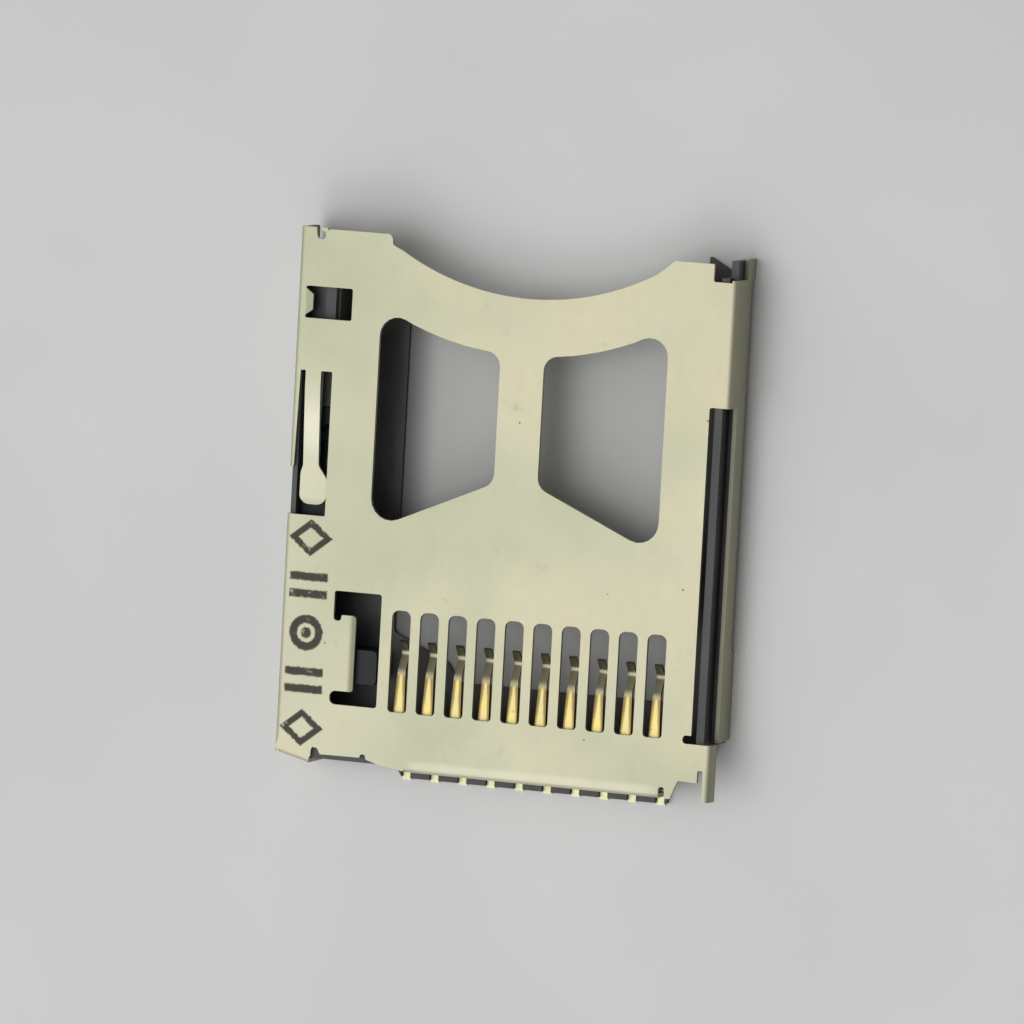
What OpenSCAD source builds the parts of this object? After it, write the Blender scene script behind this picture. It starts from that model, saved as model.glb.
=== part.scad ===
// Surface-mount push-push memory card connector: a stamped cover over a moulded frame,
// with a spring-loaded slider, its heart cam and lock pin, and ten sprung contacts.
// The board plane is z = 0, and the card goes in from the +y side.
// Inside the modules x runs from the cover's left edge, y runs back from the card mouth
// and z runs up. place() turns that into the finished frame, centred over the board.

/* [Card] */
// Width of the card
card_w = 20; // [19:0.1:21.5]
// Thickness of the card
card_t = 1.6; // [1.4:0.05:2.1]
// Free play on each side of the card
card_side_play = 0.1; // [0.05:0.01:0.2]
// Room above the card for the contacts when it presses them up
beam_room = 0.55; // [0.5:0.01:0.7]
// Height of the card's underside over the board
card_floor = 0.25; // [0.25:0.01:0.35]
// Travel of the card and the slider, from ejected to pushed right in
travel = 3.3; // [3:0.05:3.4]

/* [Cover] */
// Thickness of the sheet
sheet = 0.2; // [0.15:0.01:0.22]
// Outer radius of the bends
bend_r = 0.28; // [0.25:0.01:0.35]
// Length of the cover from the mouth to its rear flange
cover_l = 26.75; // [26.5:0.05:27.2]
// Reach of the solder tails behind the cover
tail_reach = 0.65; // [0.5:0.05:1.2]
// Width of the lane for the slider, between the cover's left wall and the card
lane_w = 1.8; // [1.8:0.01:2]
// Width of the rail between the card and the cover's right wall
rail_w = 0.7; // [0.6:0.01:0.9]
// Gap between the board and the walls where they have no foot
wall_lift = 0.5; // [0.3:0.05:0.6]
// Radius of the finger arc in the mouth
mouth_r = 13.45; // [13.3:0.05:13.8]
// Depth of the finger arc
mouth_depth = 2.75; // [2.5:0.05:2.9]
// Width of the sheet between the finger arc and the windows
mouth_band = 2.85; // [2.5:0.05:3.2]
// Rise of the lead-in lips at the mouth
lip_rise = 0.07; // [0.03:0.01:0.2]

/* [Windows] */
// Half the width of the bridge between the two windows
bridge_half = 1.15; // [1:0.05:1.6]
// Reach of the windows from the middle line
window_reach = 7.6; // [7:0.05:7.8]
// Rear end of the windows at the bridge
window_inner_end = 12; // [11:0.1:12.5]
// Rear end of the windows at their outer side
window_outer_end = 14.85; // [14:0.05:15.2]

/* [Contacts] */
// Distance between contacts
pitch = 1.5; // [1.4:0.01:1.55]
// Distance of the contact row's middle from the card's middle line
row_offset = 1.11; // [0.9:0.01:1.2]
// Distance from a slot's middle to the contact's tail
tail_offset = 0.2; // [0:0.01:0.3]
// Thickness of the contact strip
strip_t = 0.15; // [0.1:0.01:0.18]
// Width of a beam at its root
beam_w = 0.6; // [0.4:0.01:0.6]
// Width of a beam at its tip
tip_w = 0.4; // [0.25:0.01:0.45]
// Width of a solder tail
tail_w = 0.44; // [0.3:0.01:0.5]
// Height of a free contact point over the board
point_h = 1.55; // [1.45:0.01:1.65]
// Width of the slots in the cover over the contacts
slot_w = 1; // [0.8:0.01:1.1]
// Length of those slots
slot_l = 5.1; // [4.5:0.05:5.5]
// Distance from those slots to the cover's rear edge
slot_margin = 2.95; // [2.8:0.05:3.2]

/* [Mechanism] */
// Diameter of the lock pin's wire
wire_d = 0.3; // [0.24:0.01:0.32]
// Sideways swing of the lock pin's tip
pin_swing = 0.45; // [0.4:0.01:0.47]
// Distance of the lock pin's pivot behind the mouth
pivot_at = 5.2; // [5:0.05:5.6]
// Distance of the lock pin's tip behind the mouth
pin_tip_at = 13.3; // [13:0.05:13.5]
// Diameter of the spring's wire
spring_wire = 0.18; // [0.14:0.01:0.2]
// Outer diameter of the spring
spring_d = 0.96; // [0.8:0.01:1]
// Number of the spring's working turns
spring_turns = 17; // [12:1:20]
// Clearance round parts that slide or swing
run_gap = 0.05; // [0.03:0.01:0.07]
// Clearance of the lock pin's tip in the cam track
cam_gap = 0.04; // [0.03:0.005:0.05]
// Clearance of parts that only sit beside each other
seat_gap = 0.02; // [0.01:0.005:0.03]

/* [Hidden] */
$fn = 48;
over = 0.4;
arc_steps = 6;
contact_n = 10;

// Colours
cover_tone = [0.82, 0.81, 0.69];
moulding_tone = [0.13, 0.14, 0.16];
slider_tone = [0.17, 0.18, 0.2];
steel_tone = [0.72, 0.73, 0.75];
gold_tone = [0.95, 0.78, 0.35];

// Plan of the card bay
bay_left = sheet + lane_w;
bay_right = bay_left + card_w + 2 * card_side_play;
bay_mid = (bay_left + bay_right) / 2;
cover_w = bay_right + rail_w + sheet;
overall_l = cover_l + tail_reach;

// Heights
under = card_floor + card_t + beam_room;
cover_h = under + sheet;
plate_mid = under + sheet / 2;
floor_t = card_floor - run_gap;
frame_top = under - seat_gap;
bend_room = bend_r - sheet + seat_gap;

// Cover
mouth_centre = mouth_depth - mouth_r;
mouth_mid = bay_mid + 0.27;
window_r = mouth_r + mouth_band - 0.7;
window_centre = mouth_depth + mouth_band - window_r;
front_edge = 0.02;
lip_edge = 0.06;
lip_root = 0.45;
right_lip_edge = lip_edge + 0.26;
left_lip = [1.47, 4.95];
right_lip_w = [3.3, 1.25];
arc_end = cover_w - right_lip_w.x - 0.85;
relief_at = 0.8;
notch_front = 7.35;
notch_rear = cover_l - 2.85;
notch_w = 1.1;
low_wall_h = 1.65;
foot_front = notch_rear - 4.5;
post_h = 1.9;
post_l = 1.2;
wall_post_h = 1.13;
wall_post_l = post_l - 0.12;
rear_wall_drop = 0.8;
flange_drop = 1.4;
flange_left = 6.95;
flange_right = cover_w - 2.68;
corner_turn = 14;
corner_l = 0.45;
corner_w = 1.85;
slot_rear = cover_l - slot_margin;
slot_front = slot_rear - slot_l;

// Windows in the left wall and the frame's barbs in them
snap_at = [notch_front - 1.2, notch_rear + 0.6];
snap_l = 1.2;
snap_low = 0.95;
snap_high = 1.5;
barb_reach = 0.16;

// Spring arm lanced from the cover
arm_root = 7.15;
arm_left = 0.66;
arm_right = 1.48;
arm_neck = 11.9;
arm_end = arm_neck + 1.94;
pad_left = 0.55;
pad_right = 1.98;
arm_gap_left = 0.39;
arm_gap_right = 2.08;
arm_window_end = arm_end + 0.53;
arm_window_front = arm_neck + 0.1;
arm_window_floor = 1.4;

// Slider
slider_left = sheet + seat_gap + 0.18 + run_gap;
slider_right = bay_left;
slider_mid = (slider_left + slider_right) / 2;
slider_front = pin_tip_at - travel - 1;
push_face = cover_l - 5.85;
push_w = 1.7;
slider_rear = push_face + push_w + 0.05;
cam_top = under - 0.65;
cam_floor = cam_top - 0.45;
block_rear = slider_front + 5.2;
slider_foot = floor_t + run_gap;
push_reach = 3.1;
push_floor = card_floor + run_gap;
push_top = under - 0.2;

// Tongue over the slider's pusher, and the cut round it
tongue_left = bay_left + 0.83;
tongue_right = tongue_left + 1.17;
tongue_front = push_face - 1.7;
tongue_rear = slot_rear - 0.8;
tongue_droop = 0.13;
cut_front = tongue_front - 1.2;
cut_rear = slot_rear - 0.11;
cut_right = bay_left + 3.36;

// Frame
frame_front = 0.9;
stop_face = slider_front - run_gap;
rear_face = cover_l - sheet - run_gap;
rear_wall = slider_rear + travel + run_gap;
rail_end = notch_rear + 0.1;
left_floor_w = 5.15;
gusset_front = push_face - 0.85;
gusset_w = 3.6;
right_ledge_w = 1.45;
row_first = bay_mid + row_offset - (contact_n - 1) * pitch / 2;
tail_first = row_first - tail_offset;
block_left = bay_left + push_reach + 0.2;
block_right = row_first + (contact_n - 1) * pitch + 1.3;
block_front = push_face + travel + 0.1;
block_end = cover_l - 1.75;
row_end = tail_first + (contact_n - 1) * pitch + 0.6;
strip_left = tail_first - 0.5;
strip_right = tail_first + (contact_n - 1) * pitch + tail_w / 2 + 0.15;
strip_h = 0.35;
strip_reach = tail_reach - 0.1;
apron_front = block_front - 2;

// Contacts
root_h = under - 0.07 - strip_t / 2;
root_front = block_front - 0.1;
leg_at = rear_face - 0.3;
leg_bend = 0.25;
body_rear = leg_at - 0.55;
point_at = slot_rear - 2.95;
knee_at = point_at + 0.9;
knee_h = root_h - 0.13;
tip_at = point_at - 0.6;
tip_rise = 0.53;

// Lock pin
pin_h = cam_top + seat_gap * 2 + wire_d / 2;
pin_bend = 0.25;
pivot_foot = 0.9;
swing_r = pin_tip_at - pivot_at;
cam_w = wire_d + 2 * cam_gap;
cam_rest = pin_tip_at - slider_front;
cam_end = cam_rest - travel;

// Spring
spring_h = slider_foot + 0.02 + spring_d / 2;
spring_front = block_rear;
spring_rear = rear_wall;
seat_stub_d = 0.44;
seat_stub_l = 0.9;

function xy(p) = [p.x, p.y];
function unit(v) = v / norm(v);

// Points that round the corner b, between a and c, to radius r
function corner(a, b, c, r) =
    r == 0 ? [b] :
    let (u = unit(a - b), w = unit(c - b), half = acos(u * w) / 2)
    let (mid = b + unit(u + w) * r / sin(half))
    let (p = b + u * r / tan(half) - mid, q = b + w * r / tan(half) - mid)
    let (turn = atan2(p.x * q.y - p.y * q.x, p * q))
    [for (i = [0 : arc_steps]) let (t = turn * i / arc_steps)
        mid + [p.x * cos(t) - p.y * sin(t), p.x * sin(t) + p.y * cos(t)]];

// Closed outline from corners given as [x, y, radius]
function rounded(path) = let (n = len(path))
    [for (i = [0 : n - 1])
        each corner(xy(path[(i + n - 1) % n]), xy(path[i]), xy(path[(i + 1) % n]), path[i].z)];

// Open line from corners given as [x, y, radius]
function rounded_line(path) = let (last = len(path) - 1)
    [xy(path[0]),
     for (i = [1 : last - 1]) each corner(xy(path[i - 1]), xy(path[i]), xy(path[i + 1]), path[i].z),
     xy(path[last])];

// Outline of a strip of thickness t along a rounded line
function ribbon(path, t) =
    let (line = rounded_line(path), last = len(line) - 1)
    let (side = [for (i = [0 : last])
        let (d = unit(line[min(i + 1, last)] - line[max(i - 1, 0)])) [-d.y, d.x] * t / 2])
    concat([for (i = [0 : last]) line[i] + side[i]], [for (i = [last : -1 : 0]) line[i] - side[i]]);

// Rounded rectangle outline
function block(x0, y0, x1, y1, r) = rounded([[x0, y0, r], [x1, y0, r], [x1, y1, r], [x0, y1, r]]);

module place() {
    translate([-cover_w / 2, overall_l / 2, 0]) mirror([0, 1, 0]) children();
}

// Plan outline made solid from z0 to z1
module raise(z0, z1) {
    translate([0, 0, z0]) linear_extrude(z1 - z0) children();
}

// Profile in y and z made solid from x0 to x1
module across(x0, x1) {
    translate([x0, 0, 0]) rotate([90, 0, 90]) linear_extrude(x1 - x0) children();
}

// Profile in x and z made solid from y0 to y1
module lengthways(y0, y1) {
    translate([0, y1, 0]) rotate([90, 0, 0]) linear_extrude(y1 - y0) children();
}

module bar(x0, y0, z0, x1, y1, z1) {
    translate([x0, y0, z0]) cube([x1 - x0, y1 - y0, z1 - z0]);
}

// Quarter of a bend, open towards +x and down, with its outer corner at the origin
module bend() {
    translate([bend_r, -bend_r]) intersection() {
        difference() {
            circle(bend_r);
            circle(bend_r - sheet);
        }
        translate([-bend_r, 0]) square(bend_r);
    }
}

// Section of the folded sheet: top plate and two side walls
module folded_section() {
    translate([bend_r, under]) square([cover_w - 2 * bend_r, sheet]);
    for (side = [0, 1])
        translate([side * cover_w, 0]) mirror([side, 0, 0]) {
            square([sheet, cover_h - bend_r]);
            translate([0, cover_h]) bend();
        }
}

// Plan of the top plate between the two side bends
module plate_plan() {
    left = bend_r - over / 4;
    right = cover_w - bend_r + over / 4;
    strip_left = cover_w - 0.4;
    polygon(rounded([
        [left, front_edge, 0],
        [left_lip.x, front_edge, 0],
        [left_lip.x, lip_root, 0],
        [cover_w - right_lip_w.y, lip_root, 0],
        [cover_w - right_lip_w.y, post_l, 0.08],
        [right, post_l, 0],
        [right, cover_l, 0],
        [strip_left, cover_l, 0.06],
        [strip_left, cover_l - 1.55, 0.1],
        [strip_left - 0.28, cover_l - 1.55, 0.1],
        [strip_left - 0.28, cover_l - 0.92, 0.03],
        [cover_w - 1.68, cover_l - 0.95, 0.12],
        [cover_w - 1.85, cover_l - 0.55, 0.3],
        [cover_w - 2.05, cover_l - 0.02, 0.1],
        [flange_right + 0.34, cover_l, 0.08],
        [flange_right + 0.32, cover_l - 0.57, 0.14],
        [flange_right, cover_l - 0.57, 0.14],
        [flange_right, cover_l - bend_r, 0],
        [flange_left + 0.1, cover_l - bend_r, 0],
        [flange_left, cover_l - 0.06, 0.05],
        [5.6, cover_l - 0.26, 0.6],
        [4.93, cover_l - 0.46, 0.08],
        [4.9, cover_l - 0.7, 0.13],
        [4.62, cover_l - 0.7, 0.13],
        [4.6, cover_l - 0.52, 0.04],
        [corner_w + 0.62, cover_l - 0.5, 0.05],
        [corner_w + 0.46, cover_l - 0.8, 0.12],
        [corner_w + 0.14, cover_l - 0.84, 0.1],
        [corner_w + 0.1, cover_l - bend_r - 0.06, 0],
        [left, cover_l - bend_r - corner_l, 0],
    ]));
}

// Side walls as seen from the side, with their feet
module left_wall_profile() {
    polygon(rounded([
        [front_edge, cover_h + over, 0],
        [front_edge, wall_lift, 0.2],
        [1.8, wall_lift, 0.15], [1.9, 0, 0], [5.4, 0, 0], [5.5, wall_lift, 0.15],
        [foot_front, wall_lift, 0.15], [foot_front + 0.1, 0, 0],
        [notch_rear - 0.1, 0, 0], [notch_rear, wall_lift, 0.15],
        [cover_l - corner_l, wall_lift, 0.1],
        [cover_l - corner_l, cover_h + over, 0],
    ]));
}

module right_wall_profile() {
    polygon(rounded([
        [lip_edge, wall_post_h, 0.2], [lip_edge, 0, 0], [post_l - 0.2, 0, 0],
        [post_l - 0.1, wall_lift, 0.15],
        [foot_front, wall_lift, 0.15], [foot_front + 0.1, 0, 0],
        [notch_rear - 0.1, 0, 0], [notch_rear, low_wall_h, 0.15],
        [notch_front, low_wall_h, 0.15], [notch_front, cover_h + over, 0],
        [wall_post_l, cover_h + over, 0], [wall_post_l, wall_post_h, 0.1],
    ]));
    translate([notch_rear, cover_h - rear_wall_drop])
        square([cover_l - notch_rear, rear_wall_drop + over]);
}

// Rear tab that runs on from the plate to y1 and bends down by drop
module rear_tab(x0, x1, y1, drop) {
    across(x0, x1) {
        translate([cover_l - 1, under]) square([y1 - bend_r - cover_l + 1, sheet]);
        translate([y1, cover_h]) mirror([1, 0]) bend();
        translate([y1 - sheet, cover_h - drop]) square([sheet, drop - bend_r]);
    }
}

// Rear left corner, folded down at a slight turn
module rear_corner() {
    translate([0.02, cover_l - corner_l, 0]) rotate(corner_turn) translate([0, -cover_l, 0])
        rear_tab(0, corner_w, cover_l, cover_h - wall_lift);
}

// Lead-in lips on both sides of the finger arc
module front_lips() {
    back = lip_root + 0.4;
    intersection() {
        across(0, cover_w)
            polygon(ribbon([[back, plate_mid, 0], [lip_root, plate_mid, 0.5],
                [lip_edge, plate_mid + lip_rise, 0]], sheet));
        raise(0, cover_h + over) {
            polygon(rounded([[left_lip.x, back, 0], [left_lip.x, lip_edge, 0.2],
                [left_lip.y, lip_edge, 0.3], [left_lip.y, back, 0]]));
            polygon(rounded([[arc_end, back, 0], [arc_end, lip_root + 0.3, 0],
                [cover_w - right_lip_w.x, right_lip_edge, 0.5],
                [cover_w - right_lip_w.y, right_lip_edge, 0.08],
                [cover_w - right_lip_w.y, back, 0]]));
        }
    }
}

// Finger arc, which runs out into the right lip
module mouth_plan() {
    edge_at = function (x) mouth_centre + sqrt(pow(mouth_r, 2) - pow(x - mouth_mid, 2));
    last = 28;
    polygon(rounded(concat(
        [[left_lip.y, -over, 0], [left_lip.y, edge_at(left_lip.y) + 0.1, 0.2]],
        [for (i = [1 : last - 1]) let (x = left_lip.y + (arc_end - left_lip.y) * i / last)
            [x, edge_at(x), 0]],
        [[arc_end, edge_at(arc_end), 0.2], [cover_w - right_lip_w.x, right_lip_edge, 0.3],
         [cover_w - right_lip_w.x, -over, 0]]
    )));
}

// Part of the plate inside the plan given, bent down along its right edge from x0 to x1
module drooped(x0, x1, droop) {
    intersection() {
        raise(0, cover_h) children();
        lengthways(0, cover_l)
            polygon(ribbon([[x0 - 1, plate_mid, 0], [x0, plate_mid, 0.4], [x1, plate_mid - droop, 0]], sheet));
    }
}

// Edge between the two windows' fronts and the finger arc, as points at x from x0 to x1
function window_front(x0, x1) =
    [for (i = [1 : arc_steps]) let (x = x0 + (x1 - x0) * i / (arc_steps + 1))
        [x, window_centre + sqrt(pow(window_r, 2) - x * x), 0]];

// Right-hand window, with x from the middle line
module window_plan() {
    edge_at = function (x) window_centre + sqrt(pow(window_r, 2) - x * x);
    polygon(rounded(concat(
        [[window_reach, edge_at(window_reach), 0.95]],
        [[window_reach, window_outer_end, 1.05], [bridge_half, window_inner_end, 0.8],
         [bridge_half, edge_at(bridge_half), 0.75]],
        window_front(bridge_half + 0.8, window_reach - 1.1)
    )));
}

module contact_slot_plan() {
    half = slot_w / 2;
    polygon(rounded([[-half, slot_front, 0.36], [half, slot_front, 0.36],
        [half, slot_rear, 0.2], [-half, slot_rear, 0.2]]));
}

// Cut that frees the tongue over the slider's pusher
module tongue_cut_plan() {
    root = tongue_right - 0.4;
    polygon(rounded([
        [tongue_left, cut_front, 0.12], [cut_right, cut_front, 0.15], [cut_right, cut_rear, 0.15],
        [tongue_left, cut_rear, 0.3], [tongue_left, tongue_rear, 0.3], [root, tongue_rear, 0],
        [root, tongue_front, 0], [tongue_left + 0.42, tongue_front, 0.05],
        [tongue_left + 0.42, tongue_front + 0.3, 0.18], [tongue_left, tongue_front + 0.3, 0.18],
    ]));
}

module arm_opening_plan() {
    polygon(rounded([
        [arm_gap_left, arm_root, 0.06], [arm_left, arm_root, 0.06],
        [arm_left, arm_root + 0.2, 0], [arm_right, arm_root + 0.2, 0],
        [arm_right, arm_root, 0.06], [arm_gap_right, arm_root, 0.06],
        [arm_gap_right, arm_window_end, 0.08],
        [-over, arm_window_end, 0], [-over, arm_window_front, 0],
        [arm_gap_left - 0.12, arm_window_front, 0.1],
    ]));
}

module arm_plan() {
    polygon(rounded([
        [arm_left, arm_root, 0], [arm_right, arm_root, 0],
        [arm_right, arm_neck, 0.4], [pad_right, arm_neck + 0.65, 0.4],
        [pad_right, arm_end, 0.5], [pad_left, arm_end, 0.5],
        [pad_left, arm_neck + 0.4, 0.3], [arm_left, arm_neck, 0.3],
    ]));
}

// The lanced arm dips and then runs level over the lock pin
module spring_arm() {
    mid_h = under + sheet / 2;
    pad_h = pin_h + wire_d / 2 + seat_gap + sheet / 2;
    intersection() {
        raise(0, cover_h + over) arm_plan();
        across(0, pad_right + over)
            polygon(ribbon([[arm_root - over, mid_h, 0], [arm_root + 0.8, mid_h, 2],
                [arm_neck, pad_h, 2], [arm_end + over, pad_h + 0.03, 0]], sheet));
    }
}

module shell() {
    hole_front = 2.95;
    hole_rear = 4.55;
    hole_left = 0.46;
    hole_right = 2.95;
    tab_reach = 0.36;
    color(cover_tone) place() {
        difference() {
            union() {
                intersection() {
                    lengthways(0, cover_l) folded_section();
                    union() {
                        raise(cover_h - bend_r, cover_h + over) plate_plan();
                        across(-over, bend_r) left_wall_profile();
                        across(cover_w - bend_r, cover_w + over) right_wall_profile();
                    }
                }
                front_lips();
                rear_corner();
                rear_tab(flange_left, flange_right, cover_l, flange_drop);
            }
            // Hooked relief beside the left lip
            raise(under - over, cover_h + over)
                polygon(rounded([[relief_at, -over, 0], [relief_at + 0.2, -over, 0],
                    [relief_at + 0.24, 0.1, 0.1], [relief_at + 0.56, 0.26, 0.12],
                    [relief_at + 0.54, 0.64, 0.18], [relief_at + 0.12, 0.56, 0.2]]));
            raise(under - over, cover_h + over) mouth_plan();
            // Windows on both sides of the bridge
            for (side = [0, 1])
                translate([bay_mid, 0, 0]) mirror([side, 0, 0])
                    raise(under - over, cover_h + over) window_plan();
            // Slots over the contacts
            for (i = [0 : contact_n - 1])
                translate([row_first + i * pitch, 0, 0])
                    raise(under - over, cover_h + over) contact_slot_plan();
            raise(under - over, cover_h + over) tongue_cut_plan();
            // Square hole
            raise(under - over, cover_h + over)
                polygon(block(hole_left, hole_front, hole_right, hole_rear, 0.1));
            // Opening of the lanced arm, which also breaks through the left bend
            raise(under - over, cover_h + over) arm_opening_plan();
            bar(-over, arm_window_front, arm_window_floor, arm_gap_left, arm_window_end, cover_h + over);
            // Long notch on the right, with a narrow slot at its rear end
            raise(low_wall_h, cover_h + over)
                polygon(block(cover_w - notch_w, notch_front, cover_w + 1, notch_rear, 0.12));
            raise(low_wall_h, cover_h + over)
                polygon(block(cover_w - notch_w - 0.44, notch_rear - 0.38, cover_w + 1, notch_rear + 0.04, 0.17));
            // Snap windows in the left wall
            for (y = snap_at) bar(-over, y, snap_low, over, y + snap_l, snap_high);
        }
        spring_arm();
        // Tab bent down into the square hole
        drooped(hole_left, hole_left + tab_reach, 0.1)
            polygon(rounded([[bend_r, hole_front + 0.1, 0], [hole_left, hole_front + 0.12, 0.05],
                [hole_left + tab_reach, hole_front + 0.42, 0.08],
                [hole_left + tab_reach, hole_rear - 0.42, 0.08],
                [hole_left, hole_rear - 0.15, 0.05], [bend_r, hole_rear - 0.1, 0]]));
        // Drooped edge of the tongue over the pusher
        drooped(tongue_right - 0.25, tongue_right, tongue_droop)
            polygon(rounded([[tongue_right - 0.5, tongue_front, 0], [tongue_right, tongue_front, 0.2],
                [tongue_right, tongue_rear, 0.12], [tongue_right - 0.5, tongue_rear, 0]]));
    }
}

// Grooves in the frame for one contact, open above and behind, with x from the line of its tail
module contact_channel() {
    left = -tail_w / 2 - seat_gap;
    leg_right = tail_w / 2 + seat_gap;
    low = root_h - strip_t / 2 - seat_gap;
    bar(left, block_front - over, low, tail_offset + beam_w / 2 + seat_gap, body_rear + seat_gap, cover_h);
    bar(left, body_rear - over / 4, low, leg_right, leg_at, cover_h);
    bar(left, leg_at - leg_bend - seat_gap, root_h - leg_bend - seat_gap, leg_right, leg_at, cover_h);
    bar(left, leg_at - strip_t / 2 - seat_gap, -over, leg_right, overall_l + over, cover_h);
}

module housing() {
    color(moulding_tone) place() difference() {
        union() {
            // Floor of the slider's lane and of the card's left edge, widening to the contacts
            raise(0, floor_t)
                polygon(rounded([[sheet + seat_gap, frame_front, 0], [left_floor_w - 1.6, frame_front, 0.3],
                    [left_floor_w, frame_front + 2, 0.3], [left_floor_w, gusset_front, 0.4],
                    [left_floor_w + gusset_w - 0.6, gusset_front + 1.3, 0.6],
                    [left_floor_w + gusset_w, apron_front, 0.2],
                    [left_floor_w + gusset_w, block_front + over, 0],
                    [block_left + over, block_front + over, 0], [block_left + over, rear_face, 0],
                    [sheet + seat_gap, rear_face, 0]]));
            // Left wall
            bar(sheet + seat_gap, frame_front, 0, slider_left - run_gap, rear_face, frame_top);
            // Block that holds the lock pin and stops the slider
            raise(0, cam_top)
                polygon(block(sheet + seat_gap, frame_front, bay_left, stop_face, 0.15));
            raise(0, frame_top)
                polygon(block(sheet + seat_gap, frame_front, bay_left, frame_front + 1.2, 0.15));
            raise(0, cam_top + 0.3)
                polygon(block(slider_mid + 0.1, frame_front, slider_mid + 0.65, pivot_at - 0.45, 0.1));
            // Rear wall behind the slider, with a stub for the spring
            bar(sheet + seat_gap, rear_wall, 0, block_left + over, rear_face, frame_top);
            translate([slider_mid, rear_wall + 0.05, spring_h]) rotate([90, 0, 0])
                cylinder(d = seat_stub_d, h = seat_stub_l);
            // Rear block that carries the contacts
            raise(0, frame_top)
                polygon(rounded([[block_left, block_front, 0.15], [block_right, block_front, 0],
                    [block_right, block_end + 0.6, 0.15], [row_end, block_end + 0.7, 0],
                    [row_end, rear_face, 0.15], [block_left, rear_face, 0]]));
            // Strip between the tails, behind the cover's flange
            raise(0, strip_h)
                polygon(rounded([[strip_left, rear_face - over, 0], [strip_right, rear_face - over, 0],
                    [strip_right, cover_l + strip_reach, 0.1], [strip_left + 0.3, cover_l + strip_reach, 0.1],
                    [strip_left, cover_l + 0.1, 0.1]]));
            // Apron under the beams
            bar(block_left, apron_front, 0, block_right, block_front + over, floor_t);
            // Right rail with its long step, and the ledge under the card
            bar(bay_right + 0.3, 0.15, 0, cover_w - sheet - seat_gap, post_l, post_h);
            bar(bay_right, post_l - 0.2, 0, bay_right + 0.4, rail_end, frame_top);
            bar(bay_right, post_l - 0.2, 0, cover_w - sheet - seat_gap, rail_end, low_wall_h - 0.35);
            bar(bay_right, post_l + 0.2, 0, cover_w - bend_r, notch_front - 0.2, frame_top);
            raise(0, floor_t)
                polygon(rounded([[bay_right - right_ledge_w, 0.15, 0], [bay_right - right_ledge_w + 0.1, 0.15, 0],
                    [bay_right - 0.25, 0.75, 0], [bay_right + 0.35, 0.75, 0],
                    [bay_right + 0.35, rail_end, 0], [bay_right + 0.1, rail_end, 0],
                    [bay_right + 0.1, block_end, 0], [bay_right - right_ledge_w, block_end, 0]]));
            bar(block_right - over, block_front, 0, bay_right + 0.1, block_end, frame_top);
            bar(bay_right, rail_end - over, 0, bay_right + 0.25, block_front + over, frame_top);
            // Barbs that the cover's left wall snaps over
            for (y = snap_at)
                translate([sheet + seat_gap, y + seat_gap, 0])
                    bar(-barb_reach, 0, snap_low + seat_gap, over / 4, snap_l - 2 * seat_gap, snap_high - seat_gap);
            bar(sheet + seat_gap - barb_reach - 0.02, arm_window_front + seat_gap, arm_window_floor + seat_gap,
                slider_left - run_gap, arm_window_end - seat_gap, frame_top - 0.25);
        }
        // Room for the inside of the cover's bends, on the left and at the rear
        bar(0, 0, under - bend_room, sheet + bend_room, cover_l, cover_h);
        bar(0, cover_l - sheet - bend_room, under - bend_room, cover_w, cover_l, cover_h);
        translate([0, cover_l - corner_l, 0]) rotate(corner_turn) {
            bar(-over, -sheet - run_gap, -over, corner_w + 0.1, 1, cover_h);
            bar(-over, -sheet - bend_room, under - bend_room - run_gap, corner_w - 0.15, 1, cover_h);
        }
        // Pivot hole of the lock pin
        translate([slider_mid, pivot_at, pivot_foot - seat_gap])
            cylinder(d = wire_d + 2 * run_gap, h = cover_h);
        for (i = [0 : contact_n - 1])
            translate([tail_first + i * pitch, 0, 0]) contact_channel();
        // Room for the spring in the lane
        translate([slider_mid, rear_wall, spring_h]) rotate([90, 0, 0])
            cylinder(d = spring_d + 2 * run_gap, h = rear_wall - spring_front);
    }
}

// Line of the cam track, with x from the slider's middle and y from its front face
module cam_leg(x0, y0, x1, y1) {
    length = norm([x1 - x0, y1 - y0]);
    translate([x0, y0, cam_floor]) cylinder(d = cam_w, h = cam_top);
    translate([x1, y1, cam_floor]) cylinder(d = cam_w, h = cam_top);
    translate([x0, y0, cam_floor]) rotate(atan2(y1 - y0, x1 - x0))
        translate([0, -cam_w / 2, 0]) cube([length, cam_w, cam_top]);
}

// Heart cam: out along one leg, over the top into the notch, and home along the other
module heart_cam() {
    notch_y = cam_end + 0.62;
    translate([slider_mid, slider_front, 0]) {
        cam_leg(0, cam_rest, pin_swing, cam_end);
        cam_leg(pin_swing, cam_end, 0, notch_y);
        cam_leg(0, notch_y, -pin_swing, cam_end);
        cam_leg(-pin_swing, cam_end, 0, cam_rest);
    }
}

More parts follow.
